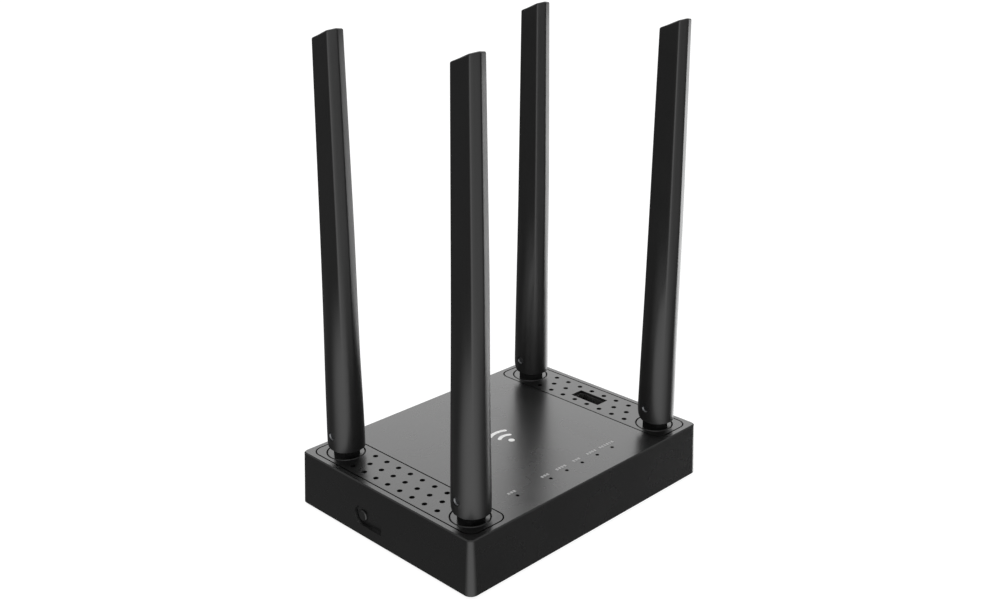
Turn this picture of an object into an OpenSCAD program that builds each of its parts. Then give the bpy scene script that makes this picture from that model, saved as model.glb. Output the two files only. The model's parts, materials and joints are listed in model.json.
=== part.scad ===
// Four-antenna wireless router, in millimetres.
// Origin: centre of the footprint, at the underside of the feet.
// +X is the right side, +Y the back with the sockets, +Z up.

/* [Case] */
// Width of the case at its foot, left to right
case_w = 122.5; // [118:0.5:160]
// Depth of the case at its foot, front to back
case_d = 91; // [88:0.5:120]
// Height of the case without its feet
case_h = 20.4; // [20:0.1:30]
// How far each side leans in from foot to top
draft = 0.95; // [0.4:0.05:2]
// Radius of the upright corners at the top
corner_r = 2; // [1:0.1:5]
// Bevel round the top edge
edge_bevel = 0.4; // [0.2:0.05:0.8]
// Thickness of the side walls at the top
wall_t = 2; // [1.8:0.1:2.6]
// Thickness of the roof
roof_t = 2; // [1.8:0.1:3]
// Thickness of the bottom cover
floor_t = 2; // [1.8:0.1:2.6]
// Gap round the bottom cover
cover_gap = 0.15; // [0.1:0.05:0.4]

/* [Feet] */
// Height that the feet lift the case by
foot_h = 1; // [0.8:0.1:3]
// Diameter of a rubber foot
foot_d = 10; // [7:0.5:12]

/* [Vent panels] */
// Width of the opening that a panel fills
panel_w = 18; // [17:0.1:20]
// Corner radius of that opening
panel_r = 4.4; // [3:0.1:6]
// Distance from the case's side to the panel's centre line
panel_inset = 12.15; // [12:0.05:16]
// Distance from the case's front and back to the panel's ends
panel_margin = 3.1; // [2.9:0.1:6]
// Gap round a panel
panel_gap = 0.55; // [0.3:0.05:0.8]
// Thickness of a panel
panel_t = 1.5; // [1.2:0.1:2]
// Thickness of the tray that a panel lies in
tray_t = 1.6; // [1.4:0.1:2.5]
// Diameter of a vent hole
vent_d = 2; // [1:0.1:2.4]
// Distance between vent holes in a column
vent_pitch = 6.39; // [5:0.01:6.6]
// Distance between vent columns
vent_column = 5.25; // [3:0.05:5.6]

/* [Antennas] */
// Height of an antenna's tip above its hinge pin
antenna_len = 145.35; // [100:0.05:200]
// Radius of the round foot of an antenna
barrel_r = 6.87; // [6.6:0.01:8]
// Distance from the case's front and back to a swivel's centre
antenna_inset = 12.65; // [12.4:0.05:16]
// How far an antenna stands in front of its swivel's centre
antenna_shift = 0.5; // [0:0.1:0.8]
// Height of the hinge pin above the roof
pin_rise = 8.55; // [8.4:0.05:12]
// Radius of the hinge pin
pin_r = 1.65; // [1.2:0.05:2]
// Clearance round the hinge pin in the knuckle
pin_clear = 0.05; // [0.02:0.01:0.1]
// Half thickness of the knuckle's tongue, front to back
tongue_y = 3.3; // [2.8:0.1:3.4]
// Half width of the knuckle's tongue, side to side
tongue_x = 3.5; // [3.2:0.1:4.2]
// Clearance round the tongue in the antenna
tongue_clear = 0.3; // [0.2:0.05:0.4]
// Half width of the blade's section at the tip
blade_x = 3.5; // [3.3:0.1:4.5]
// Slope of the cut across the tip, in degrees
tip_slope = 20; // [0:1:35]

/* [Swivels] */
// Radius of the swivel disc that lies flush in the panel
disc_r = 6.9; // [6.5:0.05:7.2]
// Gap round the swivel disc
disc_gap = 0.35; // [0.15:0.05:0.5]
// Radius of the stem that turns in the case
stem_r = 5; // [4.6:0.05:5.4]
// Clearance round the stem
stem_clear = 0.05; // [0.02:0.01:0.1]
// Depth that the stem's bearing hangs below the tray
collar_h = 2.4; // [1.5:0.1:4]

/* [Sockets and button] */
// Width of a network socket
jack_w = 15.9; // [15:0.1:16]
// Height of a network socket
jack_h = 11.5; // [11:0.1:11.8]
// Depth of a network socket
jack_d = 16; // [14:0.5:18]
// Long side of the metal shell of the USB socket
usb_l = 13.1; // [12.5:0.1:13.4]
// Short side of the metal shell of the USB socket
usb_s = 5.7; // [5.4:0.1:5.9]
// Radius of the side button
button_r = 2.05; // [1.6:0.05:2.4]
// Clearance round the side button
button_clear = 0.05; // [0.02:0.01:0.1]
// Travel of the side button
button_travel = 0.5; // [0.3:0.05:0.6]

/* [Circuit board] */
// Thickness of the board
board_t = 1.6; // [1:0.2:2]
// Height of the posts under the board
post_h = 2.3; // [2:0.1:3]

/* [Hidden] */
$fn = 48;
eps = 0.01;
cut = 1;                    // how far a cutting body runs past a face

// Levels
case_z = foot_h;
top_z = case_z + case_h;
roof_z = top_z - roof_t;
cover_lift = 0.2;
cover_z = case_z + cover_lift;
floor_z = cover_z + floor_t;
board_z = floor_z + post_h;
board_top = board_z + board_t;
tray_top = top_z - panel_t;
tray_z = tray_top - tray_t;
collar_z = tray_z - collar_h;

// Inside of the case
in_x = case_w / 2 - draft - wall_t;
in_y = case_d / 2 - draft - wall_t;

// Panels
panel_x = case_w / 2 - panel_inset;
panel_d = case_d - 2 * panel_margin;
tray_rim = 1.2;
window_rim = 2;             // ledge that carries a panel
window_w = panel_w - 2 * window_rim;
vent_rows = 8;

// Antennas and swivels
antenna_y = case_d / 2 - antenna_inset;
pin_z = top_z + pin_rise;
pin_half = barrel_r - 1.4;
ear_x = tongue_x + tongue_clear;
slot_r = tongue_y + tongue_clear;
heel_r = 5.2;               // radius of the antenna's heel round the pin
toe_drop = 5.6;             // how far the antenna's flat toe reaches below the pin
toe_y = 3;                  // where the toe turns flat
heel_end = 15;              // angle below the pin's level where the heel ends, in degrees
blade_front = 5.85;         // front ridge of the blade's section at the tip
blade_cheek = 4.6;          // front ends of its sides
blade_back = 4.7;           // its back
blade_nape = 3.6;           // back ends of its sides
blade_back_x = 2.3;         // half width of its back
loft_z = 4;                 // height above the pin where the barrel starts to taper
core_r = 2.6;               // radius of the hollow up the blade
core_y = -0.5;
core_top = 12;              // solid length above the hollow
coax_r = 0.9;               // aerial: its coaxial tail, rod and sleeves
rod_r = 0.6;
sleeve_r = 2.2;
aerial_gap = 0.4;
aerial_end = 3;
bearing_gap = 0.05;
collar_wall = 0.55;         // how far the collar reaches past the disc
collar_r = disc_r + collar_wall;
collar_space = 0.85;        // flat between a collar and the window in the tray
clip_t = 0.95;
clip_gap = 0.1;
clip_z = collar_z - clip_gap - clip_t;
clip_r = 6.7;
clip_groove = 0.6;          // depth of the clip's groove in the stem
clip_in = stem_r - clip_groove;
clip_arm = 1.5;             // how near its centre the clip's open side reaches
clip_lip = 1;
stem_tail = 0.8;            // stem below the clip
stem_z = clip_z - stem_tail;
wire_r = 1.5;               // bore for the antenna lead
wire_exit_r = 1.2;          // hole where the lead leaves the tongue
wire_exit_drop = 3.6;       // depth of that hole below the pin's underside
wire_roof = 1;              // bore above the hole's centre
tab_w = 2.2;
tab_r = 8.3;
stop_in = 7.1;
stop_out = 8.6;
turn_in = 15;               // swivel travel towards the middle of the case, in degrees
turn_out = 165;             // swivel travel away from it
stop_play = 1;              // free angle on each side of the tab, in degrees
stop_steps = 8;
window_d = 2 * (antenna_y - collar_r - collar_space);

// Status lights
light_y = -(case_d / 2 - 11.2);
light_x = [-28, -11.15, -2.7, 5.6, 13.9, 22.3];
light_r = 0.7;
pipe_r = 0.6;
pipe_bar_h = 1.2;
pipe_sink = 0.8;            // depth of the light pipe's posts below the roof
pipe_bar_w = 2.6;
pipe_bar_end = 1.5;         // bar beyond the outer posts
led_l = 1.6;
led_w = 0.8;
led_h = 1;
led_gap = 0.2;

// Sockets at the back
jack_face = case_d / 2 - draft + 0.05;
jack_gap = 0.15;
lan_pitch = jack_w + 0.2;
lan_end = panel_x - panel_w / 2 - tray_rim - 0.3;   // the row of sockets ends beside the right-hand tray
lan_x = [for (i = [0:2]) lan_end - jack_w / 2 - (2 - i) * lan_pitch];
wan_x = lan_x[0] - lan_pitch - 2.4;
mouth_w = 11.8;
mouth_h = 7.2;
mouth_d = 12.6;
mouth_z = 2.2;
latch_w = 6.2;
latch_h = 1.5;
wires = 8;
wire_pitch = 1.02;
wire_len = 8;
wire_lean = 14;
contact_r = 0.22;
contact_y = 3.4;            // depth of a contact's front end behind the socket's face
contact_drop = 0.3;         // and below the top of its mouth
power_x = wan_x - 16;
power_w = 9;
power_h = 10.8;
power_d = 13;
power_bore = 2.75;
power_pin = 1;
power_axis = 6.3;
power_window = 4.1;
power_hole = 10;            // depth of the power socket's bore
power_pin_l = 8.6;
power_gap = 0.15;
power_sink = 0.4;

// USB socket
usb_wall = 0.35;
usb_sink = 1;               // depth of its mouth below the roof
usb_slot_l = usb_l + 0.8;
usb_slot_s = usb_s + 0.3;
usb_base = 1.6;
usb_tongue_t = 1.8;
usb_tongue_gap = 0.5;
usb_tongue_drop = 1;

// Side button
pocket_y = 10.4;
pocket_z = case_z + 7.76;
pocket_depth = 1.3;
pocket_r = 3.4;
pocket_end = -0.4;
pocket_bevel = 0.3;
side_x = case_w / 2 - draft * (pocket_z - case_z) / case_h;
pocket_x = side_x - pocket_depth;
button_y = pocket_y + 0.2;
button_z = pocket_z - 0.5;
button_proud = 0.8;
button_bevel = 0.3;
button_flange = 0.8;
button_play = 0.1;          // gap between the flange and the wall
button_rod = 0.9;
switch_x = in_x - 4.2;
plunger_out = 0.7;
plunger_in = 1.1;
plunger_gap = 0.05;
switch_spare = 0.1;         // depth left behind the plunger when it is pressed
plunger_r = 0.8;
switch_w = 6.2;
switch_l = 4.2;
switch_h = 3.4;

// Board and fixings
board_edge = 2.3;
board_front = in_y - 2.5;
board_back = in_y - 1;
board_x = in_x - board_edge;
post_inset = 3;             // from the board's edges to its screws
post_back = 2;
post_at = [for (x = [-1, 1], y = [post_inset - board_front, board_front - post_back])
  [x * (board_x - post_inset), y]];
post_r = 2.4;
board_screw_r = 1;
boss_x = 35;
boss_inset = 8;             // from the front wall, and from the sockets, to the case screws
boss_at = [for (x = [-1, 1], y = [boss_inset - in_y, in_y - jack_d - boss_inset]) [x * boss_x, y]];
boss_r = 3;
boss_gap = 0.5;             // gap round a boss where it passes the board
boss_hole = 9;
case_screw_r = 1.25;
case_screw_l = 7;           // screw above the floor
screw_gap = 0.1;
screw_head_r = 2.2;
screw_head_h = 1.2;
head_gap = 0.2;
cross_w = 0.6;
cross_l = 2.4;
post_hole = 0.6;            // depth of a post's hole in the floor
foot_inset = [9, 8];
foot_at = [for (x = [-1, 1], y = [-1, 1]) [x * (in_x - foot_inset[0]), y * (in_y - foot_inset[1])]];
foot_sink = 0.4;
foot_bevel = 0.4;
slot_w = 2;
slot_l = 24;
slot_pitch = 4.4;
slots = 9;
slot_y = -20;
label_w = 46;
label_d = 22;
label_t = 0.15;
label_y = 12;
label_sink = 0.2;
label_gap = 0.2;

// Chips and other parts on the board: [x, y, width, depth, height]
processor = [2, -6, 15, 15, 1.3];
memory = [[-18.5, -2, 9, 13, 1.1], [-18.5, -17, 9, 13, 1.1]];
shields = [[-31, -14, 13, 21, 2.4], [30, -13, 16, 22, 2.4]];
transformers = [[-14, 17, 14, 9, 5.4], [6, 17, 14, 9, 5.4], [23, 17, 14, 9, 5.4]];
sink_w = 26;
sink_h = 6;
sink_base = 1.4;
fins = 9;
fin_t = 1;
can_wall = 0.3;
capacitors = [[-49.5, 19, 3.1, 7], [-46, 11.5, 3.1, 7], [-27, 24, 3.1, 6.5]];
coils = [[-37, 5, 6, 6, 3], [-29, 5, 6, 6, 3]];

// Antenna leads, from the swivel's centre towards the board, for a rear right antenna
lead_r = 0.65;
lead_points = [[0, 0, 5.4], [0, 0, 1.2], [-0.6, -1, -2.6], [-3.6, -5, -4], [-6.6, -10, -4], [-8, -12.6, -5]];
lead_end = [-8, -12.9];
lead_steps = 3;
lead_sides = 8;
port_h = 0.8;
port_r = 0.9;
port_base = [3, 3, 0.4];
plug_h = 1.1;
plug_r = 1.3;

// ---- Shared shapes ----

// Rectangle with round corners
module round_rect(w, d, r) {
  square([w - 2 * r, d], center = true);
  square([w, d - 2 * r], center = true);
  for (x = [-1, 1], y = [-1, 1])
    translate([x * (w / 2 - r), y * (d / 2 - r)]) circle(r = r);
}

module plate(w, d, r, z, h) {
  translate([0, 0, z]) linear_extrude(h) round_rect(w, d, r);
}

// Block on a base level, centred on x and y: size is [x, y, z]
module block(size) {
  translate([0, 0, size[2] / 2]) cube(size, center = true);
}

module chip(c) {
  translate([c[0], c[1], board_top]) block([c[2], c[3], c[4]]);
}

// Unit vector at an angle from +X
function turned(a) = [cos(a), sin(a)];

// Cylinder along X from x0 to x1
module rod_x(x0, x1, r) {
  translate([x0, 0, 0]) rotate([0, 90, 0]) cylinder(r = r, h = x1 - x0);
}

// Layer of the case between two levels, each side leaning in from in0 to in1
module layer(z0, z1, in0, in1) {
  core_x = case_w / 2 - draft - corner_r;
  core_y = case_d / 2 - draft - corner_r;
  r0 = corner_r + draft - in0;
  r1 = corner_r + draft - in1;
  translate([0, core_y, 0]) rotate([90, 0, 0]) linear_extrude(2 * core_y)
    polygon([[-core_x - r0, z0], [core_x + r0, z0], [core_x + r1, z1], [-core_x - r1, z1]]);
  translate([-core_x, 0, 0]) rotate([90, 0, 90]) linear_extrude(2 * core_x)
    polygon([[-core_y - r0, z0], [core_y + r0, z0], [core_y + r1, z1], [-core_y - r1, z1]]);
  for (x = [-1, 1], y = [-1, 1])
    translate([x * core_x, y * core_y, z0]) cylinder(r1 = r0, r2 = r1, h = z1 - z0);
}

module at_panel(side) {
  translate([side * panel_x, 0, 0]) children();
}

// side: -1 left, 1 right; end: -1 front, 1 rear
module at_antenna(side, end) {
  translate([side * panel_x, end * antenna_y, 0]) children();
}

module at_each(points) {
  for (p = points) translate([p[0], p[1], 0]) children();
}

// ---- Case ----

module swivel_collar(side) {
  translate([0, 0, collar_z]) cylinder(r = collar_r, h = tray_z - collar_z + eps);
  tab_half = asin(tab_w / 2 / stop_in) + stop_play;
  first = turn_out + tab_half;
  last = 360 - turn_in - tab_half;
  swing = first - last + 360;
  free = concat([[0, 0]],
    [for (i = [0:stop_steps]) 3 * stop_out * turned(last + i * swing / stop_steps)]);
  rib_z = clip_z - clip_gap;
  mirror([side > 0 ? 1 : 0, 0, 0]) translate([0, 0, rib_z]) difference() {
    cylinder(r = stop_out, h = tray_z - rib_z + eps);
    translate([0, 0, -cut]) cylinder(r = stop_in, h = collar_z - rib_z + cut);
    translate([0, 0, -cut]) linear_extrude(collar_z - rib_z + cut) polygon(free);
  }
}

module button_pocket() {
  depth = pocket_depth + cut;
  flare = pocket_r + pocket_bevel * depth / pocket_depth;
  len = pocket_y - pocket_end;
  translate([-pocket_x, pocket_y, pocket_z]) {
    rotate([0, -90, 0]) cylinder(r1 = pocket_r, r2 = flare, h = depth);
    rotate([90, 0, 0]) linear_extrude(len)
      polygon([[0, -pocket_r], [0, pocket_r], [-depth, flare], [-depth, -flare]]);
  }
}

module socket_windows() {
  for (x = concat([wan_x], lan_x))
    translate([x, in_y + cut, board_top])
      block([jack_w + 2 * jack_gap, 2 * (wall_t + draft + cut), jack_h + jack_gap]);
  translate([power_x, in_y - cut, board_top + power_axis]) rotate([-90, 0, 0])
    cylinder(r = power_window, h = wall_t + draft + 2 * cut);
}

module top_shell() {
  color("#2a2a2a") difference() {
    union() {
      difference() {
        union() {
          layer(case_z, top_z - edge_bevel, 0, draft * (case_h - edge_bevel) / case_h);
          layer(top_z - edge_bevel, top_z, draft * (case_h - edge_bevel) / case_h, draft + edge_bevel);
        }
        translate([0, 0, case_z - cut]) block([2 * in_x, 2 * in_y, roof_z - case_z + cut]);
      }
      for (s = [-1, 1]) at_panel(s)
        plate(panel_w + 2 * tray_rim, panel_d + 2 * tray_rim, panel_r + tray_rim, tray_z, tray_t + eps);
      for (s = [-1, 1], e = [-1, 1]) at_antenna(s, e) swivel_collar(s);
      at_each(boss_at) translate([0, 0, floor_z + bearing_gap]) cylinder(r = boss_r, h = roof_z - floor_z);
    }
    for (s = [-1, 1]) at_panel(s) {
      plate(panel_w, panel_d, panel_r, tray_top, panel_t + cut);
      plate(window_w, window_d, window_rim, tray_z - cut, tray_t + 2 * cut);
    }
    for (s = [-1, 1], e = [-1, 1]) at_antenna(s, e)
      translate([0, 0, stem_z - cut]) cylinder(r = stem_r + stem_clear, h = top_z - stem_z + 2 * cut);
    for (x = light_x) translate([x, light_y, roof_z - cut])
      cylinder(r = light_r, h = roof_t + 2 * cut, $fn = 24);
    at_each(boss_at) translate([0, 0, floor_z - cut])
      cylinder(r = case_screw_r, h = boss_hole + cut, $fn = 24);
    button_pocket();
    translate([0, button_y, button_z]) rod_x(-pocket_x - cut, -in_x + cut, button_r + button_clear);
    socket_windows();
  }
}

module bottom_cover() {
  color("#262626") difference() {
    union() {
      translate([0, 0, cover_z]) block([2 * (in_x - cover_gap), 2 * (in_y - cover_gap), floor_t]);
      at_each(post_at) translate([0, 0, floor_z - eps]) cylinder(r = post_r, h = post_h + eps);
    }
    at_each(post_at) translate([0, 0, floor_z - post_hole])
      cylinder(r = board_screw_r, h = post_h + cut, $fn = 24);
    at_each(boss_at) translate([0, 0, cover_z - cut]) {
      cylinder(r = case_screw_r + screw_gap, h = floor_t + 2 * cut, $fn = 24);
      cylinder(r = screw_head_r + head_gap, h = screw_head_h + cut);
    }
    at_each(foot_at) translate([0, 0, cover_z - cut]) cylinder(r = foot_d / 2, h = foot_sink + cut);
    for (i = [0:slots - 1])
      translate([(i - (slots - 1) / 2) * slot_pitch, slot_y, cover_z - cut])
        block([slot_w, slot_l, floor_t + 2 * cut]);
    translate([0, label_y, cover_z - cut])
      block([label_w + 2 * label_gap, label_d + 2 * label_gap, label_sink + cut]);
  }
}

module vent_panel(side) {
  usb_side = side > 0;
  usb_clear = usb_slot_l / 2 + vent_pitch / 2;
  difference() {
    plate(panel_w - 2 * panel_gap, panel_d - 2 * panel_gap, panel_r - panel_gap, tray_top, panel_t);
    for (c = [-1, 0, 1], i = [0:vent_rows - 1]) {
      y = (i - (vent_rows - 1) / 2 + (c == 0 ? 0.5 : 0)) * vent_pitch;
      if ((c != 0 || i < vent_rows - 1) && !(usb_side && c == 0 && abs(y) < usb_clear))
        translate([c * vent_column, y, tray_top - cut])
          cylinder(r = vent_d / 2, h = panel_t + 2 * cut, $fn = 24);
    }
    for (e = [-1, 1]) translate([0, e * antenna_y, tray_top - cut])
      cylinder(r = disc_r + disc_gap, h = panel_t + 2 * cut);
    if (usb_side) translate([0, 0, tray_top - cut]) block([usb_slot_s, usb_slot_l, panel_t + 2 * cut]);
  }
}

module left_vent_panel() {
  color("#303030") at_panel(-1) vent_panel(-1);
}

module right_vent_panel() {
  color("#303030") at_panel(1) vent_panel(1);
}

module rubber_feet() {
  color("#151515") at_each(foot_at) {
    cylinder(r1 = foot_d / 2 - foot_bevel, r2 = foot_d / 2, h = foot_bevel);
    translate([0, 0, foot_bevel]) cylinder(r = foot_d / 2, h = cover_z + foot_sink - foot_bevel);
  }
}

module screw(head_z, tip_z, r) {
  up = tip_z > head_z ? 1 : -1;
  translate([0, 0, head_z]) mirror([0, 0, up > 0 ? 0 : 1]) difference() {
    union() {
      cylinder(r = screw_head_r, h = screw_head_h);
      cylinder(r = r, h = abs(tip_z - head_z), $fn = 24);
    }
    for (a = [0, 90]) rotate([0, 0, a]) translate([0, 0, -cut]) block([cross_w, cross_l, cut + cross_w]);
  }
}

module case_screws() {
  color("#b8b8bc") at_each(boss_at) screw(cover_z, floor_z + case_screw_l, case_screw_r);
}

module blank_label() {
  color("#c9c9c4") translate([0, label_y, cover_z + label_sink - label_t]) block([label_w, label_d, label_t]);
}

// ---- Circuit board ----

module main_board() {
  color("#1d6b3c") difference() {
    translate([0, (board_back - board_front) / 2, board_z])
      block([2 * board_x, board_back + board_front, board_t]);
    at_each(post_at) translate([0, 0, board_z - cut])
      cylinder(r = board_screw_r + screw_gap, h = board_t + 2 * cut, $fn = 24);
    at_each(boss_at) translate([0, 0, board_z - cut]) cylinder(r = boss_r + boss_gap, h = board_t + 2 * cut);
  }
}

module board_screws() {
  color("#b8b8bc") at_each(post_at) screw(board_top + screw_head_h, floor_z, board_screw_r);
}

module processor_chip() {
  color("#202020") chip(processor);
}

module memory_chips() {
  color("#202020") for (c = memory) chip(c);
}

module heat_sink() {
  color("#a9abad") translate([processor[0], processor[1], board_top + processor[4]]) {
    block([sink_w, sink_w, sink_base]);
    for (i = [0:fins - 1])
      translate([(i - (fins - 1) / 2) * (sink_w - fin_t) / (fins - 1), 0, sink_base - eps])
        block([fin_t, sink_w, sink_h - sink_base]);
  }
}

module radio_shields() {
  color("#b9b9b4") for (c = shields) difference() {
    chip(c);
    translate([c[0], c[1], board_top - cut])
      block([c[2] - 2 * can_wall, c[3] - 2 * can_wall, c[4] + cut - can_wall]);
  }
}

module network_transformers() {
  color("#1b1b1b") for (c = transformers) chip(c);
}

module power_capacitors() {
  color("#30343a") for (c = capacitors) translate([c[0], c[1], board_top]) cylinder(r = c[2], h = c[3]);
}

module power_coils() {
  color("#4a4a4a") for (c = coils) chip(c);
}

module status_leds() {
  color("#f2f2e6") for (x = light_x) translate([x, light_y, board_top]) block([led_l, led_w, led_h]);
}

// One smoked moulding: a bar under the roof with a post up to each hole and a leg down to each LED
module light_pipe() {
  last = light_x[len(light_x) - 1];
  foot = board_top + led_h + led_gap;
  color("#26282a") {
    translate([(light_x[0] + last) / 2, light_y, roof_z - pipe_bar_h])
      block([last - light_x[0] + 2 * pipe_bar_end, pipe_bar_w, pipe_bar_h]);
    for (x = light_x) translate([x, light_y, foot])
      cylinder(r = pipe_r, h = top_z - pipe_sink - foot, $fn = 24);
  }
}

// ---- Sockets ----

module network_jack(x) {
  translate([x, jack_face - jack_d / 2, board_top]) difference() {
    block([jack_w, jack_d, jack_h]);
    translate([0, jack_d / 2 - mouth_d / 2 + cut / 2, mouth_z]) block([mouth_w, mouth_d + cut, mouth_h]);
    translate([0, jack_d / 2 - mouth_d / 4 + cut / 2, mouth_z - latch_h])
      block([latch_w, mouth_d / 2 + cut, latch_h + eps]);
  }
}

module wan_jack() {
  color("#2b4f8c") network_jack(wan_x);
}

module lan_jack_1() {
  color("#c9a227") network_jack(lan_x[0]);
}

module lan_jack_2() {
  color("#c9a227") network_jack(lan_x[1]);
}

module lan_jack_3() {
  color("#c9a227") network_jack(lan_x[2]);
}

// Eight sprung wires in each network socket, leaning down from the back of the mouth
module jack_contacts() {
  z = board_top + mouth_z + mouth_h - contact_drop;
  color("#d8b24a") for (x = concat([wan_x], lan_x), i = [0:wires - 1])
    translate([x + (i - (wires - 1) / 2) * wire_pitch, jack_face - contact_y, z])
      rotate([90 + wire_lean, 0, 0]) cylinder(r = contact_r, h = wire_len, $fn = 16);
}

module power_jack() {
  color("#1c1c1c") translate([power_x, jack_face, board_top]) difference() {
    union() {
      translate([0, -power_d / 2 - wall_t - draft, 0]) block([power_w, power_d, power_h]);
      translate([0, -wall_t - draft - eps, power_axis]) rotate([-90, 0, 0])
        cylinder(r = power_window - power_gap, h = wall_t + draft - power_sink);
    }
    translate([0, -power_hole, power_axis]) rotate([-90, 0, 0])
      cylinder(r = power_bore, h = power_hole + cut);
  }
}

module power_jack_pin() {
  color("#c8c8c8") translate([power_x, jack_face - power_hole, board_top + power_axis]) rotate([-90, 0, 0])
    cylinder(r = power_pin, h = power_pin_l, $fn = 24);
}

module usb_shell() {
  h = top_z - usb_sink - board_top;
  color("#b5b7ba") at_panel(1) translate([0, 0, board_top]) difference() {
    block([usb_s, usb_l, h]);
    translate([0, 0, usb_base]) block([usb_s - 2 * usb_wall, usb_l - 2 * usb_wall, h]);
  }
}

module usb_tongue() {
  h = top_z - usb_sink - usb_tongue_drop - board_top - usb_base;
  x = usb_tongue_t / 2 + usb_tongue_gap + usb_wall - usb_s / 2;
  color("#3a3a3c") at_panel(1) translate([x, 0, board_top + usb_base])
    block([usb_tongue_t, usb_l - 2 * usb_wall - 2 * usb_tongue_gap, h]);
}

// ---- Side button ----

module side_button() {
  rim = -pocket_x - button_proud + button_bevel;
  back = -in_x + button_play;
  color("#333333") translate([0, button_y, button_z]) {
    rod_x(rim, back + eps, button_r);
    translate([rim, 0, 0]) rotate([0, -90, 0])
      cylinder(r1 = button_r, r2 = button_r - button_bevel, h = button_bevel);
    rod_x(back, back + button_flange, button_r + button_flange);
    rod_x(back, -switch_x - plunger_out, button_rod);
  }
}

module switch_plunger() {
  color("#d9d9d0") translate([0, button_y, button_z])
    rod_x(-switch_x - plunger_out, -switch_x + plunger_in, plunger_r);
}

module side_switch() {
  hole_end = -switch_x + plunger_in + button_travel + switch_spare;
  color("#202020") difference() {
    translate([-switch_x + switch_l / 2, button_y, board_top]) block([switch_l, switch_w, switch_h]);
    translate([0, button_y, button_z]) rod_x(-switch_x - cut, hole_end, plunger_r + plunger_gap);
  }
}

// ---- Antenna leads ----

// Point at fraction t between b and c on a smooth curve through a, b, c, d
function curve_point(a, b, c, d, t) =
  0.5 * (2 * b + (c - a) * t + (2 * a - 5 * b + 4 * c - d) * t * t + (3 * b - a - 3 * c + d) * t * t * t);

function smooth(p) = concat(
  [for (i = [0:len(p) - 2], j = [0:lead_steps - 1])
    curve_point(p[max(i - 1, 0)], p[i], p[i + 1], p[min(i + 2, len(p) - 1)], j / lead_steps)],
  [p[len(p) - 1]]);

function unit(v) = v / norm(v);

// Ring of points round each point of a route
function ring(p, i, r, n) =
  let (
    dir = unit(p[min(i + 1, len(p) - 1)] - p[max(i - 1, 0)]),
    u = unit(cross([0.3, -0.8, 0.1], dir)),
    v = cross(dir, u)
  ) [for (k = [0:n - 1]) p[i] + r * (cos(360 * k / n) * u + sin(360 * k / n) * v)];

module tube(p, r, n) {
  rings = len(p);
  points = [for (i = [0:rings - 1]) each ring(p, i, r, n)];
  walls = [for (i = [0:rings - 2], k = [0:n - 1]) each [
    [i * n + k, i * n + (k + 1) % n, (i + 1) * n + k],
    [i * n + (k + 1) % n, (i + 1) * n + (k + 1) % n, (i + 1) * n + k]]];
  ends = [[for (k = [0:n - 1]) n - 1 - k], [for (k = [0:n - 1]) (rings - 1) * n + k]];
  polyhedron(points, concat(ends, walls), convexity = 4);
}

function lead_route(side, end) =
  let (drop = collar_z - 2) concat(
    [for (q = lead_points) [side * (panel_x + q[0]), end * (antenna_y + q[1]), drop + q[2]]],
    [[side * (panel_x + lead_end[0]), end * (antenna_y + lead_end[1]), board_top + port_h + plug_h]]);

module lead(side, end) {
  color("#4d4d4d") tube(smooth(lead_route(side, end)), lead_r, lead_sides);
}

module front_left_lead() { lead(-1, -1); }
module rear_left_lead() { lead(-1, 1); }
module front_right_lead() { lead(1, -1); }
module rear_right_lead() { lead(1, 1); }

module at_ports() {
  for (s = [-1, 1], e = [-1, 1])
    translate([s * (panel_x + lead_end[0]), e * (antenna_y + lead_end[1]), board_top]) children();
}

module antenna_ports() {
  color("#c9a94e") at_ports() {
    block(port_base);
    cylinder(r = port_r, h = port_h, $fn = 24);
  }
}

module lead_plugs() {
  color("#bdbdbd") at_ports() translate([0, 0, port_h]) cylinder(r = plug_r, h = plug_h, $fn = 24);
}

// ---- Swivel and antenna, on a swivel's own centre line ----

// From a swivel's centre to its antenna's
module shifted() {
  translate([0, -antenna_shift, 0]) children();
}

module knuckle() {
  disc_z = tray_top + bearing_gap;
  disc_bevel = 0.3;
  exit_z = pin_z - pin_r - wire_exit_drop;
  color("#2c2c2c") difference() {
    union() {
      translate([0, 0, stem_z]) cylinder(r = stem_r, h = disc_z - stem_z + eps);
      translate([0, 0, disc_z]) cylinder(r = disc_r, h = top_z - disc_bevel - disc_z);
      translate([0, 0, top_z - disc_bevel]) cylinder(r1 = disc_r, r2 = disc_r - disc_bevel, h = disc_bevel);
      shifted() {
        translate([0, 0, top_z - eps]) block([2 * tongue_x, 2 * tongue_y, pin_rise + eps]);
        translate([0, 0, pin_z]) rod_x(-tongue_x, tongue_x, tongue_y);
      }
    }
    shifted() translate([0, 0, pin_z]) rod_x(-tongue_x - cut, tongue_x + cut, pin_r + pin_clear);
    translate([0, 0, stem_z - cut]) cylinder(r = wire_r, h = exit_z + wire_roof - stem_z + cut);
    translate([0, 0, exit_z]) rotate([-90, 0, 0]) cylinder(r = wire_exit_r, h = tongue_y + cut);
    translate([0, 0, clip_z]) difference() {
      cylinder(r = stem_r + cut, h = clip_t);
      translate([0, 0, -cut]) cylinder(r = clip_in, h = clip_t + 2 * cut);
    }
  }
}

// Snap clip round the stem, with the tab that meets the stop under the tray
module clip(side) {
  color("#c4c6c8") mirror([side > 0 ? 1 : 0, 0, 0]) translate([0, 0, clip_z]) difference() {
    union() {
      cylinder(r = clip_r, h = clip_t);
      translate([(tab_r + clip_in) / 2, 0, 0]) block([tab_r - clip_in, tab_w, clip_t]);
    }
    translate([0, 0, -cut]) cylinder(r = clip_in, h = clip_t + 2 * cut);
    translate([-clip_r, 0, -cut])
      block([2 * (clip_r - clip_arm), 2 * (clip_in - clip_lip), clip_t + 2 * cut]);
  }
}

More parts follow.
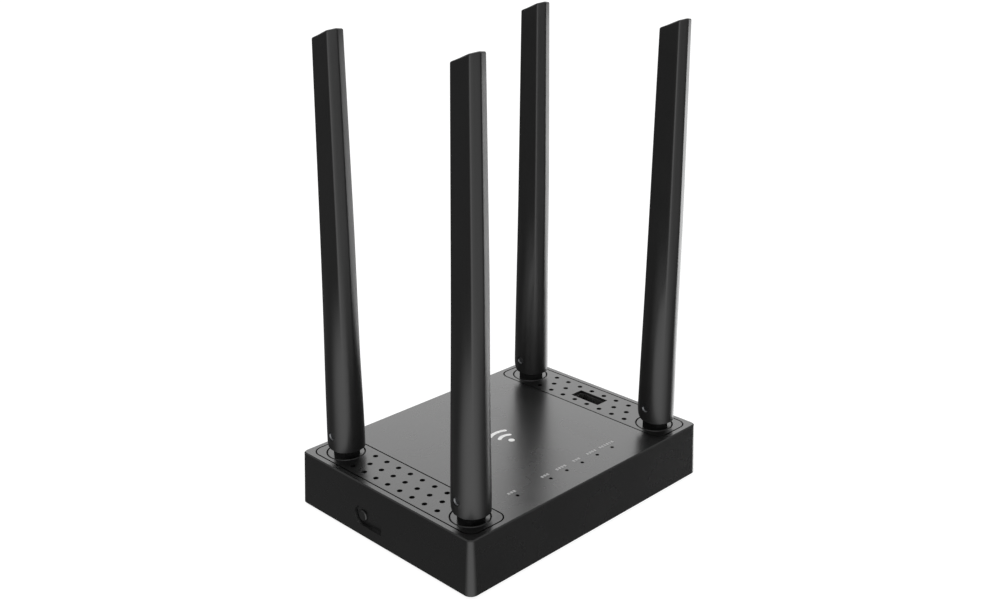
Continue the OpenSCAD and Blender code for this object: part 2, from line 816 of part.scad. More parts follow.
// Underside of an antenna seen from the side: heel round the pin at the back, flat toe at the front
function sole() =
  let (heel = heel_r * [cos(heel_end), -sin(heel_end)]) concat(
    [[-barrel_r - cut, -toe_drop - cut], [-barrel_r - cut, -toe_drop], [-toe_y, -toe_drop]],
    [for (a = [-90:5:-heel_end - 5]) heel_r * turned(a)],
    [heel, [barrel_r + cut, heel[1]], [barrel_r + cut, -toe_drop - cut]]);

function blade_section() = [
  [0, -blade_front], [blade_x, -blade_cheek], [blade_x, blade_nape], [blade_back_x, blade_back],
  [-blade_back_x, blade_back], [-blade_x, blade_nape], [-blade_x, -blade_cheek]];

module housing() {
  core_len = antenna_len - core_top - slot_r;
  color("#2b2b2b") difference() {
    union() {
      translate([0, 0, pin_z - toe_drop]) cylinder(r = barrel_r, h = toe_drop + loft_z + eps);
      hull() {
        translate([0, 0, pin_z + loft_z]) cylinder(r = barrel_r, h = eps, $fn = 32);
        translate([0, 0, pin_z + antenna_len - eps]) linear_extrude(eps) polygon(blade_section());
      }
    }
    translate([0, -blade_front, pin_z + antenna_len]) rotate([-tip_slope, 0, 0])
      translate([0, 2 * barrel_r, 0]) block([4 * barrel_r, 6 * barrel_r, 4 * barrel_r]);
    translate([-barrel_r - cut, 0, pin_z]) rotate([90, 0, 90])
      linear_extrude(2 * (barrel_r + cut)) polygon(sole());
    translate([0, 0, pin_z]) rod_x(-ear_x, ear_x, slot_r);
    translate([0, barrel_r / 2, pin_z - toe_drop - cut])
      block([2 * ear_x, barrel_r + 2 * slot_r, toe_drop + cut]);
    translate([0, barrel_r, pin_z - eps]) block([2 * ear_x, 2 * barrel_r, slot_r + eps]);
    translate([0, 0, pin_z]) rod_x(-barrel_r - cut, barrel_r + cut, pin_r);
    translate([0, core_y, pin_z + slot_r - 1]) cylinder(r = core_r, h = core_len + 1);
  }
}

module pin() {
  bevel = 0.25;
  color("#8f9194") translate([0, 0, pin_z]) {
    rod_x(-pin_half + bevel, pin_half - bevel, pin_r);
    for (a = [-90, 90]) rotate([0, a, 0]) translate([0, 0, pin_half - bevel])
      cylinder(r1 = pin_r, r2 = pin_r - bevel, h = bevel);
  }
}

// Coaxial tail, lower sleeve, rod and upper sleeve of the aerial inside an antenna
module radiator() {
  foot = pin_z + slot_r + aerial_gap;
  height = antenna_len - core_top - slot_r - aerial_end;
  color("#c8914a") translate([0, core_y, foot]) {
    cylinder(r = coax_r, h = height * 0.3, $fn = 24);
    translate([0, 0, height * 0.2]) cylinder(r = sleeve_r, h = height * 0.25);
    cylinder(r = rod_r, h = height, $fn = 24);
    translate([0, 0, height * 0.7]) cylinder(r = sleeve_r, h = height * 0.2);
  }
}

module front_left_knuckle() { at_antenna(-1, -1) knuckle(); }
module rear_left_knuckle() { at_antenna(-1, 1) knuckle(); }
module front_right_knuckle() { at_antenna(1, -1) knuckle(); }
module rear_right_knuckle() { at_antenna(1, 1) knuckle(); }

module front_left_clip() { at_antenna(-1, -1) clip(-1); }
module rear_left_clip() { at_antenna(-1, 1) clip(-1); }
module front_right_clip() { at_antenna(1, -1) clip(1); }
module rear_right_clip() { at_antenna(1, 1) clip(1); }

module front_left_housing() { at_antenna(-1, -1) shifted() housing(); }
module rear_left_housing() { at_antenna(-1, 1) shifted() housing(); }
module front_right_housing() { at_antenna(1, -1) shifted() housing(); }
module rear_right_housing() { at_antenna(1, 1) shifted() housing(); }

module front_left_pin() { at_antenna(-1, -1) shifted() pin(); }
module rear_left_pin() { at_antenna(-1, 1) shifted() pin(); }
module front_right_pin() { at_antenna(1, -1) shifted() pin(); }
module rear_right_pin() { at_antenna(1, 1) shifted() pin(); }

module front_left_radiator() { at_antenna(-1, -1) shifted() radiator(); }
module rear_left_radiator() { at_antenna(-1, 1) shifted() radiator(); }
module front_right_radiator() { at_antenna(1, -1) shifted() radiator(); }
module rear_right_radiator() { at_antenna(1, 1) shifted() radiator(); }

top_shell();
bottom_cover();
left_vent_panel();
right_vent_panel();
rubber_feet();
case_screws();
blank_label();
main_board();
board_screws();
processor_chip();
memory_chips();
heat_sink();
radio_shields();
network_transformers();
power_capacitors();
power_coils();
status_leds();
light_pipe();
power_jack();
power_jack_pin();
wan_jack();
lan_jack_1();
lan_jack_2();
lan_jack_3();
jack_contacts();
usb_shell();
usb_tongue();
side_button();
switch_plunger();
side_switch();
antenna_ports();
lead_plugs();
front_left_lead();
rear_left_lead();
front_right_lead();
rear_right_lead();
front_left_knuckle();
rear_left_knuckle();
front_right_knuckle();
rear_right_knuckle();
front_left_clip();
rear_left_clip();
front_right_clip();
rear_right_clip();
front_left_housing();
rear_left_housing();
front_right_housing();
rear_right_housing();
front_left_pin();
rear_left_pin();
front_right_pin();
rear_right_pin();
front_left_radiator();
rear_left_radiator();
front_right_radiator();
rear_right_radiator();
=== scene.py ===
"""Looks of the four-antenna wireless router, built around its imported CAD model. Lengths are in metres."""
import json
import math

import bmesh
import bpy
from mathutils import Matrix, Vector


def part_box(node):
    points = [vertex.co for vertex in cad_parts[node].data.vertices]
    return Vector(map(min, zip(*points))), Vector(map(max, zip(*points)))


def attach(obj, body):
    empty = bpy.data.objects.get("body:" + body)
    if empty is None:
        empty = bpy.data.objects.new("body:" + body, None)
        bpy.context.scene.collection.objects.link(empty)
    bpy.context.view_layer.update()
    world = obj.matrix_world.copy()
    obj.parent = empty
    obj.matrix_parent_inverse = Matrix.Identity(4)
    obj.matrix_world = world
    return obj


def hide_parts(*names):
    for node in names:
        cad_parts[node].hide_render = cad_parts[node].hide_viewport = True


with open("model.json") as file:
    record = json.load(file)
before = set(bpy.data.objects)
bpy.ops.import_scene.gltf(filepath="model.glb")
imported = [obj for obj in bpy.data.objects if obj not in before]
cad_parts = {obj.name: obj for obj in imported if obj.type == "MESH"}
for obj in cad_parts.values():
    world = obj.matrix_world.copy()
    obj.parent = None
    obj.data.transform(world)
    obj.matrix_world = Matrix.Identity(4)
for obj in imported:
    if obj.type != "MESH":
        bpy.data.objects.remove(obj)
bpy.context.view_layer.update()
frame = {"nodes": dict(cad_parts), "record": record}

MM = 0.001
CORNERS = ("front_left", "rear_left", "front_right", "rear_right")
NODES = frame["nodes"]


# ---- Measures taken from the frame ----

def middle(node):
    low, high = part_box(node)
    return (low + high) / 2


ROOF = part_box("top_shell")[1].z
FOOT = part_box("top_shell")[0].z


# ---- Colour, nodes and materials ----

CLOUD = 14 * MM        # size of the soft patches that vary a moulding's gloss and tint
STREAK_GLOSS = 0.3     # share by which a metal's streaks change its roughness
STREAK_SHADE = 0.8     # how dark its dullest streak is


def linear(hex_colour):
    """sRGB hex to linear RGBA."""
    parts = [int(hex_colour[i:i + 2], 16) / 255 for i in (1, 3, 5)]
    return (*[c / 12.92 if c <= 0.04045 else ((c + 0.055) / 1.055) ** 2.4 for c in parts], 1)


def add_node(tree, kind, inputs=None, **settings):
    """Adds one node, sets its properties, and fills its inputs with values or other nodes' outputs."""
    node = tree.nodes.new(kind)
    for name, value in settings.items():
        setattr(node, name, value)
    for name, value in (inputs or {}).items():
        if isinstance(value, bpy.types.NodeSocket):
            tree.links.new(value, node.inputs[name])
        else:
            node.inputs[name].default_value = value
    return node


def new_material(name):
    """An empty material with its shader and the object's own coordinates, in metres."""
    material = bpy.data.materials.new(name)
    material.use_nodes = True
    tree = material.node_tree
    tree.nodes.clear()
    shader = add_node(tree, "ShaderNodeBsdfPrincipled")
    add_node(tree, "ShaderNodeOutputMaterial", {"Surface": shader.outputs["BSDF"]})
    place = add_node(tree, "ShaderNodeTexCoord").outputs["Object"]
    return material, tree, shader, place


def moulded_plastic(name, colour, fleck, roughness, spread, grain_mm, grain_depth_mm, ior=1.5):
    """Injection-moulded plastic: its tool's eroded grain leaves a fine pebble and a soft gloss."""
    material, tree, shader, place = new_material(name)
    cloud = add_node(tree, "ShaderNodeTexNoise", {"Vector": place, "Scale": 1 / CLOUD, "Detail": 3})
    tint = add_node(tree, "ShaderNodeMix", {
        "Factor": cloud.outputs["Fac"], "A": linear(colour), "B": linear(fleck)}, data_type="RGBA")
    gloss = add_node(tree, "ShaderNodeMapRange", {
        "Value": cloud.outputs["Fac"], "From Min": 0.3, "From Max": 0.7,
        "To Min": roughness - spread, "To Max": roughness + spread})
    grain = add_node(tree, "ShaderNodeTexNoise", {
        "Vector": place, "Scale": 1 / (grain_mm * MM), "Detail": 2})
    bump = add_node(tree, "ShaderNodeBump", {
        "Height": grain.outputs["Fac"], "Strength": 1.0, "Distance": grain_depth_mm * MM})
    tree.links.new(tint.outputs["Result"], shader.inputs["Base Color"])
    tree.links.new(gloss.outputs["Result"], shader.inputs["Roughness"])
    tree.links.new(bump.outputs["Normal"], shader.inputs["Normal"])
    shader.inputs["IOR"].default_value = ior
    return material


def plain_metal(name, colour, roughness, scratch_mm, axis=(1, 1, 1)):
    """Plated or drawn metal: faint streaks left by the rolls or dies."""
    material, tree, shader, place = new_material(name)
    stretched = add_node(tree, "ShaderNodeMapping", {"Vector": place, "Scale": axis})
    streaks = add_node(tree, "ShaderNodeTexNoise", {
        "Vector": stretched.outputs["Vector"], "Scale": 1 / (scratch_mm * MM), "Detail": 4})
    gloss = add_node(tree, "ShaderNodeMapRange", {
        "Value": streaks.outputs["Fac"], "To Min": roughness * (1 - STREAK_GLOSS),
        "To Max": roughness * (1 + STREAK_GLOSS)})
    bright = linear(colour)
    dull = [c * STREAK_SHADE for c in bright[:3]] + [1]
    shade = add_node(tree, "ShaderNodeMix", {
        "Factor": streaks.outputs["Fac"], "A": bright, "B": dull}, data_type="RGBA")
    tree.links.new(gloss.outputs["Result"], shader.inputs["Roughness"])
    tree.links.new(shade.outputs["Result"], shader.inputs["Base Color"])
    shader.inputs["Metallic"].default_value = 1
    return material


def case_abs():
    return moulded_plastic(
        "black_abs_satin_moulded", "#131313", "#151515", roughness=0.27, spread=0.015,
        grain_mm=0.25, grain_depth_mm=0.0006, ior=1.54)


def panel_abs():
    return moulded_plastic(
        "black_abs_panel_moulded", "#131313", "#151515", roughness=0.29, spread=0.02,
        grain_mm=0.3, grain_depth_mm=0.0009, ior=1.54)


def antenna_abs():
    return moulded_plastic(
        "black_abs_antenna_moulded", "#121212", "#151515", roughness=0.34, spread=0.02,
        grain_mm=0.3, grain_depth_mm=0.001, ior=1.54)


def knuckle_pom():
    return moulded_plastic(
        "black_acetal_knuckle_moulded", "#0c0c0c", "#0f0f0f", roughness=0.2, spread=0.02,
        grain_mm=0.3, grain_depth_mm=0.0006, ior=1.48)


def cover_abs():
    return moulded_plastic("black_abs_cover_textured", "#191919", "#1e1e1e", 0.5, 0.04, 0.5, 0.006)


def foot_rubber():
    return moulded_plastic("black_rubber_foot", "#121212", "#181818", 0.75, 0.05, 0.4, 0.008)


def board_laminate():
    """Epoxy glass board under green solder mask, with the tracks' ridges showing through."""
    material, tree, shader, place = new_material("green_solder_mask_board")
    tracks = add_node(tree, "ShaderNodeTexBrick", {
        "Vector": place, "Scale": 1 / (6 * MM), "Color1": linear("#0f5a33"), "Color2": linear("#156b3d"),
        "Mortar": linear("#0b4728"), "Mortar Size": 0.03})
    tree.links.new(tracks.outputs["Color"], shader.inputs["Base Color"])
    bump = add_node(tree, "ShaderNodeBump", {"Height": tracks.outputs["Fac"], "Distance": 0.03 * MM})
    tree.links.new(bump.outputs["Normal"], shader.inputs["Normal"])
    shader.inputs["Roughness"].default_value = 0.35
    return material


def smoked_acrylic():
    """Smoked acrylic light pipe: near black until the light behind it is on."""
    material, tree, shader, place = new_material("smoked_acrylic_light_pipe")
    frost = add_node(tree, "ShaderNodeTexNoise", {"Vector": place, "Scale": 1 / (0.5 * MM)})
    gloss = add_node(tree, "ShaderNodeMapRange", {
        "Value": frost.outputs["Fac"], "To Min": 0.25, "To Max": 0.45})
    tree.links.new(gloss.outputs["Result"], shader.inputs["Roughness"])
    shader.inputs["Base Color"].default_value = linear("#0b0b0c")
    shader.inputs["Transmission Weight"].default_value = 0.3
    shader.inputs["IOR"].default_value = 1.49
    return material


MATERIALS = {
    "black_abs": case_abs(),
    "vent_panel": panel_abs(),
    "antenna_abs": antenna_abs(),
    "cover_abs": cover_abs(),
    "knuckle_pom": knuckle_pom(),
    "foot_rubber": foot_rubber(),
    "zinc_steel": plain_metal("zinc_plated_steel", "#b9bbc0", 0.32, 1.2),
    "tin_plate": plain_metal("bright_tin_plate", "#c3c3c1", 0.28, 1.5, (1, 1, 0.2)),
    "black_steel": plain_metal("dark_turned_steel_pin", "#6a6b6d", 0.3, 0.8),
    "white_print": moulded_plastic("pad_printed_white_ink", "#e2e2e1", "#e8e8e7", 0.6, 0.03, 0.6, 0.002),
    "faint_print": moulded_plastic("pad_printed_grey_ink", "#999999", "#9e9e9e", 0.6, 0.03, 0.6, 0.002),
    "board_laminate": board_laminate(),
    "chip_epoxy": moulded_plastic("black_epoxy_chip", "#151515", "#1b1b1b", 0.55, 0.04, 0.3, 0.004),
    "sink_aluminium": plain_metal("extruded_aluminium", "#b4b6b9", 0.38, 0.8, (1, 0.05, 1)),
    "can_sleeve": moulded_plastic("shrink_sleeve_capacitor", "#1d2630", "#232d38", 0.3, 0.04, 1.0, 0.002),
    "ferrite": moulded_plastic("pressed_ferrite_coil", "#3a3a3b", "#434344", 0.65, 0.05, 0.4, 0.008),
    "led_lens": moulded_plastic("diffusing_led_lens", "#e6e4d2", "#efeee0", 0.4, 0.05, 0.8, 0.002),
    "smoked_acrylic": smoked_acrylic(),
    "jack_black": moulded_plastic("black_nylon_power_jack", "#101010", "#151515", 0.4, 0.04, 0.5, 0.004),
    "jack_blue": moulded_plastic("blue_pbt_network_jack", "#1f4a8f", "#244f96", 0.42, 0.04, 0.5, 0.004),
    "jack_yellow": moulded_plastic("yellow_pbt_network_jack", "#c99c1e", "#d0a426", 0.42, 0.04, 0.5, 0.004),
    "gold_contact": plain_metal("gold_flashed_contact", "#d9b765", 0.25, 0.6),
    "usb_insulator": moulded_plastic("grey_lcp_usb_tongue", "#505052", "#565658", 0.45, 0.04, 0.5, 0.003),
    "switch_body": moulded_plastic("black_nylon_switch", "#141414", "#191919", 0.45, 0.04, 0.5, 0.004),
    "lead_jacket": moulded_plastic("black_fep_lead_jacket", "#2b2b2b", "#333333", 0.3, 0.05, 0.8, 0.004),
    "brass_aerial": plain_metal("drawn_brass_aerial", "#c79a5b", 0.3, 0.7, (1, 1, 0.1)),
}


def dress_nodes():
    """Every CAD node gets the material of its record slot; the vent panels have their own tool finish."""
    for part in frame["record"]["subparts"]:
        node, slot = part["node"], part["material_slot"]
        if node.endswith("vent_panel"):
            slot = "vent_panel"
        NODES[node].data.materials.clear()
        NODES[node].data.materials.append(MATERIALS[slot])


# ---- Antenna housings ----

BARREL_R = (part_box("front_left_housing")[1].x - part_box("front_left_housing")[0].x) / 2
PIN_Z = middle("front_left_pin").z
PIN_R = (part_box("front_left_pin")[1].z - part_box("front_left_pin")[0].z) / 2
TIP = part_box("front_left_housing")[1].z - PIN_Z
TOE = PIN_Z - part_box("front_left_housing")[0].z
TIP_SLOPE = math.radians(20)
BLADE_X = 3.5 * MM
BLADE_FRONT = 5.85 * MM
BLADE_CHEEK = 4.6 * MM
BLADE_BACK = 4.7 * MM
BLADE_NAPE = 3.6 * MM
BLADE_BACK_X = 2.3 * MM
EDGE_ROUND = 0.45 * MM
TIP_ROUND = 0.6 * MM
BARREL_TAPER = 0.0137       # how fast the round barrel narrows with height
ROUND_TO = 12 * MM          # height above the pin where the flats begin to show
FLAT_OVER = 72 * MM         # height over which they take the round's place
SWELL = 0.129               # how much wider the blade is at the end of SWELL_OVER, down from the tip
SWELL_OVER = 61 * MM
SWELL_START = 5 * MM
RING_PITCH = 3.4 * MM
HEEL_R = 5.2 * MM
HEEL_END = 15
TOE_Y = 3 * MM
EAR_X = 3.8 * MM
SLOT_R = 3.6 * MM


def blade_outline():
    """The blade's section at the tip: front ridge, cheeks, back. Its corners are rounded by short arcs."""
    corners = [Vector(p) for p in (
        (0, -BLADE_FRONT), (BLADE_X, -BLADE_CHEEK), (BLADE_X, BLADE_NAPE), (BLADE_BACK_X, BLADE_BACK),
        (-BLADE_BACK_X, BLADE_BACK), (-BLADE_X, BLADE_NAPE), (-BLADE_X, -BLADE_CHEEK))]
    outline = []
    for i, corner in enumerate(corners):
        before = (corners[i - 1] - corner).normalized()
        after = (corners[(i + 1) % len(corners)] - corner).normalized()
        start, end = corner + before * EDGE_ROUND, corner + after * EDGE_ROUND
        for step in range(5):
            t = step / 4
            outline.append(start * (1 - t) ** 2 + corner * 2 * t * (1 - t) + end * t ** 2)
        following = corners[(i + 1) % len(corners)] - after * EDGE_ROUND
        length = (following - end).length
        between = max(1, round(length / (0.9 * MM)))
        outline += [end.lerp(following, n / between) for n in range(1, between)]
    return outline


def ease(t):
    t = min(max(t, 0), 1)
    return t * t * (3 - 2 * t)


def blade_point(tip_point, height):
    """Where an outline point lies at a height above the pin: round at the barrel, flat-sided higher up."""
    radius = BARREL_R - BARREL_TAPER * max(height, 0)
    flat = ease((height - ROUND_TO) / FLAT_OVER)
    swell = 1 + SWELL * (TIP - SWELL_START - height) / SWELL_OVER
    reach = tip_point.length * swell
    return tip_point.normalized() * (radius * (1 - flat) + reach * flat)


def loft_blade():
    """Closed mesh of one antenna on its own centre line, heights counted from the pin."""
    outline = blade_outline()
    bm = bmesh.new()
    levels = [-TOE - 1 * MM, -4 * MM, 0, 4 * MM] + [8 * MM + RING_PITCH * i for i in range(40)]
    top = [TIP - (p.y + BLADE_FRONT) * math.tan(TIP_SLOPE) for p in outline]
    levels = [h for h in levels if h < min(top) - 3 * MM]
    rings = []
    for height in levels:
        rings.append([bm.verts.new((*blade_point(p, height), height)) for p in outline])
    for turn in (0, 22.5, 45, 67.5, 90):
        inset = TIP_ROUND * (1 - math.cos(math.radians(turn)))
        drop = TIP_ROUND * (1 - math.sin(math.radians(turn)))
        points = [(blade_point(p, h) * (1 - inset / p.length), h - drop) for p, h in zip(outline, top)]
        rings.append([bm.verts.new((*point, height)) for point, height in points])
    count = len(outline)
    for low, high in zip(rings, rings[1:]):
        for k in range(count):
            bm.faces.new((low[k], low[(k + 1) % count], high[(k + 1) % count], high[k]))
    bm.faces.new(reversed(rings[0]))
    bm.faces.new(rings[-1])
    bmesh.ops.recalc_face_normals(bm, faces=bm.faces)
    return mesh_from(bm, "antenna_blade")


def mesh_from(bm, name):
    mesh = bpy.data.meshes.new(name)
    bm.to_mesh(mesh)
    bm.free()
    return mesh


def prism(outline, axis, low, high, name):
    """A flat outline pushed along X (outline in y, z) or Z (outline in x, y)."""
    bm = bmesh.new()

    def lifted(p, along):
        return (along, p[0], p[1]) if axis == "X" else (p[0], p[1], along)

    ends = [[bm.verts.new(lifted(p, a)) for p in outline] for a in (low, high)]
    count = len(outline)
    for k in range(count):
        bm.faces.new((ends[0][k], ends[0][(k + 1) % count], ends[1][(k + 1) % count], ends[1][k]))
    bm.faces.new(reversed(ends[0]))
    bm.faces.new(ends[1])
    bmesh.ops.recalc_face_normals(bm, faces=bm.faces)
    return mesh_from(bm, name)


def arc(radius, first, last, steps, centre=(0, 0)):
    angles = [math.radians(first + (last - first) * i / steps) for i in range(steps + 1)]
    return [(centre[0] + radius * math.cos(a), centre[1] + radius * math.sin(a)) for a in angles]


def carve(mesh, cutters):
    """Cuts closed meshes out of a closed mesh."""
    body = bpy.data.objects.new("carved", mesh)
    bpy.context.scene.collection.objects.link(body)
    tools = []
    for cutter in cutters:
        tool = bpy.data.objects.new("cutter", cutter)
        bpy.context.scene.collection.objects.link(tool)
        modifier = body.modifiers.new("cut", "BOOLEAN")
        modifier.object = tool
        modifier.operation = "DIFFERENCE"
        modifier.solver = "EXACT"
        tools.append(tool)
    bpy.context.view_layer.update()
    carved = bpy.data.meshes.new_from_object(body.evaluated_get(bpy.context.evaluated_depsgraph_get()))
    for thing in [body, *tools]:
        bpy.data.objects.remove(thing)
    return carved


def antenna_mesh():
    """Blade with its sole, the slot that the neck folds into, and the bore of the hinge pin."""
    out = BARREL_R + 1 * MM
    heel_z = -HEEL_R * math.sin(math.radians(HEEL_END))
    sole = [(-out, -2 * out), (-out, -TOE), (-TOE_Y, -TOE)]
    sole += arc(HEEL_R, -90, -HEEL_END, 15) + [(out, heel_z), (out, -2 * out)]
    slot = [(-SLOT_R, -2 * out)] + arc(SLOT_R, 180, 90, 16) + [(2 * out, SLOT_R), (2 * out, -2 * out)]
    cutters = [
        prism(sole, "X", -2 * out, 2 * out, "sole"),
        prism(slot, "X", -EAR_X, EAR_X, "slot"),
        prism(arc(PIN_R, 0, 348.75, 31), "X", -2 * out, 2 * out, "bore"),
    ]
    mesh = carve(loft_blade(), cutters)
    mesh.polygons.foreach_set("use_smooth", [True] * len(mesh.polygons))
    mesh.set_sharp_from_angle(angle=math.radians(32))
    return mesh


def add_antennas():
    """One moulded blade for each antenna, in place of the CAD node's plain facets."""
    blade = antenna_mesh()
    for corner in CORNERS:
        centre = middle(f"{corner}_pin")
        mesh = blade.copy()
        mesh.name = f"{corner}_blade"
        for vertex in mesh.vertices:
            vertex.co += centre
        mesh.materials.clear()
        mesh.materials.append(MATERIALS["antenna_abs"])
        piece = bpy.data.objects.new(f"{corner}_blade", mesh)
        bpy.context.scene.collection.objects.link(piece)
        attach(piece, f"{corner}_antenna")
        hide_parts(f"{corner}_housing")


# ---- Hinge pins ----

PIN_END = BARREL_R - 0.42 * MM
PIN_RIM = 0.12 * MM
DISH_R = 1.15 * MM


def pin_mesh():
    """Turned pin along X whose ends stand just inside the barrel, each with a dish from its rivet tool."""
    lip = PIN_R - PIN_RIM
    dish_x = PIN_END - (lip - DISH_R)
    profile = [(dish_x, DISH_R), (PIN_END, lip), (PIN_END - PIN_RIM, PIN_R)]
    profile += [(-x, r) for x, r in reversed(profile)]
    bm = bmesh.new()
    rings = [[bm.verts.new((x, *p)) for p in arc(r, 0, 348.75, 31)] for x, r in profile]
    for near, far in zip(rings, rings[1:]):
        for k in range(32):
            bm.faces.new((near[k], near[(k + 1) % 32], far[(k + 1) % 32], far[k]))
    bm.faces.new(reversed(rings[0]))
    bm.faces.new(rings[-1])
    bmesh.ops.recalc_face_normals(bm, faces=bm.faces)
    mesh = mesh_from(bm, "dished_pin")
    mesh.polygons.foreach_set("use_smooth", [True] * len(mesh.polygons))
    mesh.set_sharp_from_angle(angle=math.radians(30))
    return mesh


def add_pins():
    """A dished pin in place of each plain one."""
    turned = pin_mesh()
    for corner in CORNERS:
        mesh = turned.copy()
        mesh.name = f"{corner}_dished_pin"
        for vertex in mesh.vertices:
            vertex.co += middle(f"{corner}_pin")
        mesh.materials.append(MATERIALS["black_steel"])
        piece = bpy.data.objects.new(f"{corner}_dished_pin", mesh)
        bpy.context.scene.collection.objects.link(piece)
        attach(piece, f"{corner}_antenna")
        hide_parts(f"{corner}_pin")


# ---- Printed marks ----

PRINT_T = 0.03 * MM
MARK_STROKE = 1.5 * MM
MARK_DOT_R = 1.2 * MM
MARK_FOOT = Vector((0.2 * MM, -3.9 * MM))
MARK_ARCS = ((4.5 * MM, 36), (8.3 * MM, 28))
LEGEND_Y = middle("status_leds").y + 2.9 * MM
LEGEND_HALF = 0.6 * MM
# Where each light stands along X, and how wide its legend is, in millimetres
LEGENDS = ((-28, 4.2), (-11.15, 4.2), (-2.7, 4.6), (5.6, 4.3), (13.9, 5.5), (22.3, 7.9))
DASH = 0.95 * MM
DASH_GAP = 0.4 * MM


def stroke(radius, width, half_angle, centre):
    """Outline of a round-ended stroke along an arc that opens towards the back."""
    ends = []
    for angle, start in ((90 + half_angle, 90 + half_angle), (90 - half_angle, 270 - half_angle)):
        tip = arc(radius, angle, angle, 1, centre)[0]
        ends.append(arc(width / 2, start, start + 180, 8, tip)[1:-1])
    outer = arc(radius + width / 2, 90 - half_angle, 90 + half_angle, 20, centre)
    inner = arc(radius - width / 2, 90 + half_angle, 90 - half_angle, 20, centre)
    return outer + ends[0] + inner + ends[1]


def print_on_roof(outlines, name, ink):
    """Ink, one outline after another, as a single thin piece on the roof."""
    bm = bmesh.new()
    for outline in outlines:
        bm.from_mesh(prism(outline, "Z", ROOF, ROOF + PRINT_T, name))
    piece = bpy.data.objects.new(name, mesh_from(bm, name))
    piece.data.materials.append(MATERIALS[ink])
    bpy.context.scene.collection.objects.link(piece)
    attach(piece, "case")


def add_roof_mark():
    """A plain wireless sign, a dot under two arcs, where the maker's sign was."""
    outlines = [arc(MARK_DOT_R, 0, 348.75, 31, MARK_FOOT)]
    outlines += [stroke(radius, MARK_STROKE, half_angle, MARK_FOOT) for radius, half_angle in MARK_ARCS]
    print_on_roof(outlines, "wireless_mark", "white_print")


def add_light_legends():
    """A row of short dashes behind each light, where its name was."""
    front, back = LEGEND_Y - LEGEND_HALF, LEGEND_Y + LEGEND_HALF
    for number, (light_x, width) in enumerate(LEGENDS):
        count = round((width * MM + DASH_GAP) / (DASH + DASH_GAP))
        left = light_x * MM - (count * DASH + (count - 1) * DASH_GAP) / 2
        starts = [left + k * (DASH + DASH_GAP) for k in range(count)]
        outlines = [[(x, front), (x + DASH, front), (x + DASH, back), (x, back)] for x in starts]
        print_on_roof(outlines, f"light_legend_{number + 1}", "faint_print")


# ---- Camera, floor and light ----

FOCAL_MM = 44.01
CAMERA_X = -293.98 * MM
CAMERA_Y = -289.85 * MM
CAMERA_Z = 229.93 * MM      # above the case's foot
LOOKS_DOWN = 20.52          # degrees
TURNED_RIGHT = 45.21


def add_camera():
    """Stands at the front left, looking down on the roof, with the whole router in view."""
    lens = bpy.data.cameras.new("camera")
    lens.sensor_width = 36
    lens.lens = FOCAL_MM
    lens.clip_start = 0.01
    camera = bpy.data.objects.new("camera", lens)
    camera.location = (CAMERA_X, CAMERA_Y, CAMERA_Z + FOOT)
    camera.rotation_euler = (math.radians(90 - LOOKS_DOWN), 0, math.radians(-TURNED_RIGHT))
    bpy.context.scene.collection.objects.link(camera)
    bpy.context.scene.camera = camera


STUDIO_R = 6


def add_floor():
    """A white floor that ends in a dome, lit like a light table. The lamps shine through it."""
    bm = bmesh.new()
    bmesh.ops.create_icosphere(bm, subdivisions=5, radius=STUDIO_R)
    for vertex in bm.verts:
        vertex.co.z = max(vertex.co.z, 0)
    floor = bpy.data.objects.new("floor", mesh_from(bm, "floor"))
    material, tree, shader, place = new_material("pale_matt_floor")
    cloud = add_node(tree, "ShaderNodeTexNoise", {"Vector": place, "Scale": 3.0})
    tint = add_node(tree, "ShaderNodeMix", {
        "Factor": cloud.outputs["Fac"], "A": linear("#7c7c7c"), "B": linear("#7f7f7f")},
        data_type="RGBA")
    tree.links.new(tint.outputs["Result"], shader.inputs["Base Color"])
    shader.inputs["Roughness"].default_value = 0.9
    shader.inputs["Specular IOR Level"].default_value = 0
    shader.inputs["Emission Color"].default_value = linear("#ffffff")
    shader.inputs["Emission Strength"].default_value = 0.9
    floor.data.materials.append(material)
    bpy.context.scene.collection.objects.link(floor)
    floor.visible_glossy = False
    floor.visible_diffuse = False
    floor.visible_shadow = False


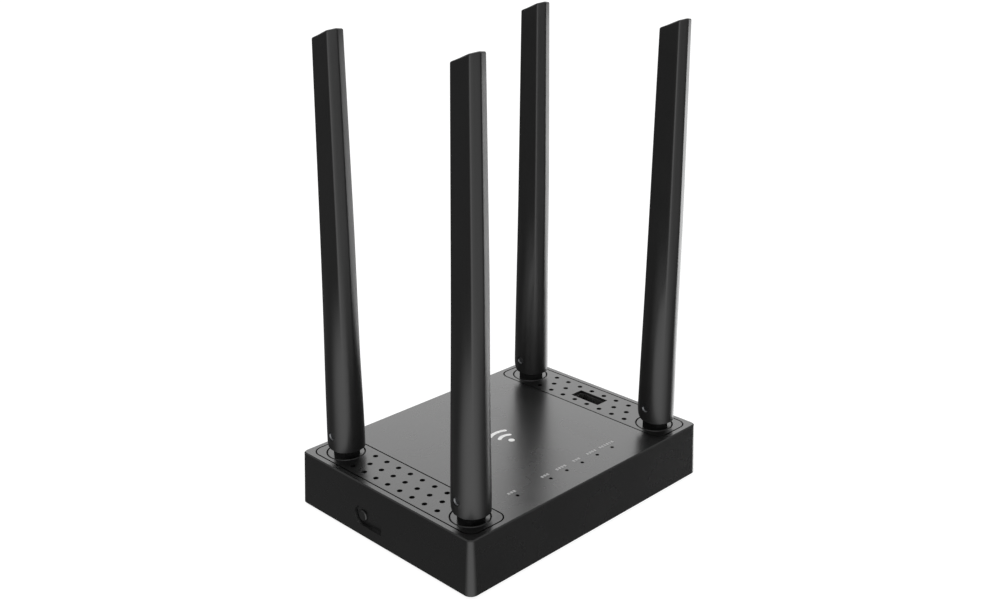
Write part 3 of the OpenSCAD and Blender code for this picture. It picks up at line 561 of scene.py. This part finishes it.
def direction(azimuth, elevation):
    """Unit vector, azimuth counted from +X towards +Y, both in degrees."""
    a, e = math.radians(azimuth), math.radians(elevation)
    return Vector((math.cos(e) * math.cos(a), math.cos(e) * math.sin(a), math.sin(e)))


# Soft lamps: azimuth, elevation, radius of the even middle and of the soft edge in degrees, brightness
LAMPS = {
    "rear_card": (45, 26, 22, 44, 1.66),
    "right_card": (1, -20, 6, 24, 3.1),
    "front_card": (225, -20, 5, 72, 1.5),
    "top_card": (45, 88, 10, 38, 1.1),
}
GLOW = 0.14            # light from every side
SKY = 0.42             # more of it from above the horizon


def add_world():
    """A dim room under a pale dome, with the soft lamps painted on it as round cards."""
    world = bpy.data.worlds.new("studio")
    world.use_nodes = True
    tree = world.node_tree
    place = add_node(tree, "ShaderNodeTexCoord").outputs["Generated"]
    height = add_node(tree, "ShaderNodeVectorMath", {0: place, 1: direction(0, 90)},
                      operation="DOT_PRODUCT")
    dome = add_node(tree, "ShaderNodeMapRange", {
        "Value": height.outputs["Value"], "From Min": 0.05, "From Max": 0.45,
        "To Min": GLOW, "To Max": GLOW + SKY}, interpolation_type="SMOOTHSTEP")
    total = dome.outputs["Result"]
    for azimuth, elevation, even_radius, edge_radius, brightness in LAMPS.values():
        facing = add_node(tree, "ShaderNodeVectorMath", {0: place, 1: direction(azimuth, elevation)},
                          operation="DOT_PRODUCT")
        card = add_node(tree, "ShaderNodeMapRange", {
            "Value": facing.outputs["Value"], "From Min": math.cos(math.radians(edge_radius)),
            "From Max": math.cos(math.radians(even_radius)), "To Max": brightness},
            interpolation_type="SMOOTHSTEP")
        total = add_node(tree, "ShaderNodeMath", {0: total, 1: card.outputs["Result"]},
                         operation="ADD").outputs["Value"]
    backdrop = tree.nodes["Background"]
    tree.links.new(total, backdrop.inputs["Strength"])
    backdrop.inputs["Color"].default_value = linear("#ffffff")
    bpy.context.scene.world = world
    bpy.context.scene.view_settings.view_transform = "Standard"


add_camera()
add_floor()
add_world()
dress_nodes()
add_antennas()
add_pins()
add_roof_mark()
add_light_legends()
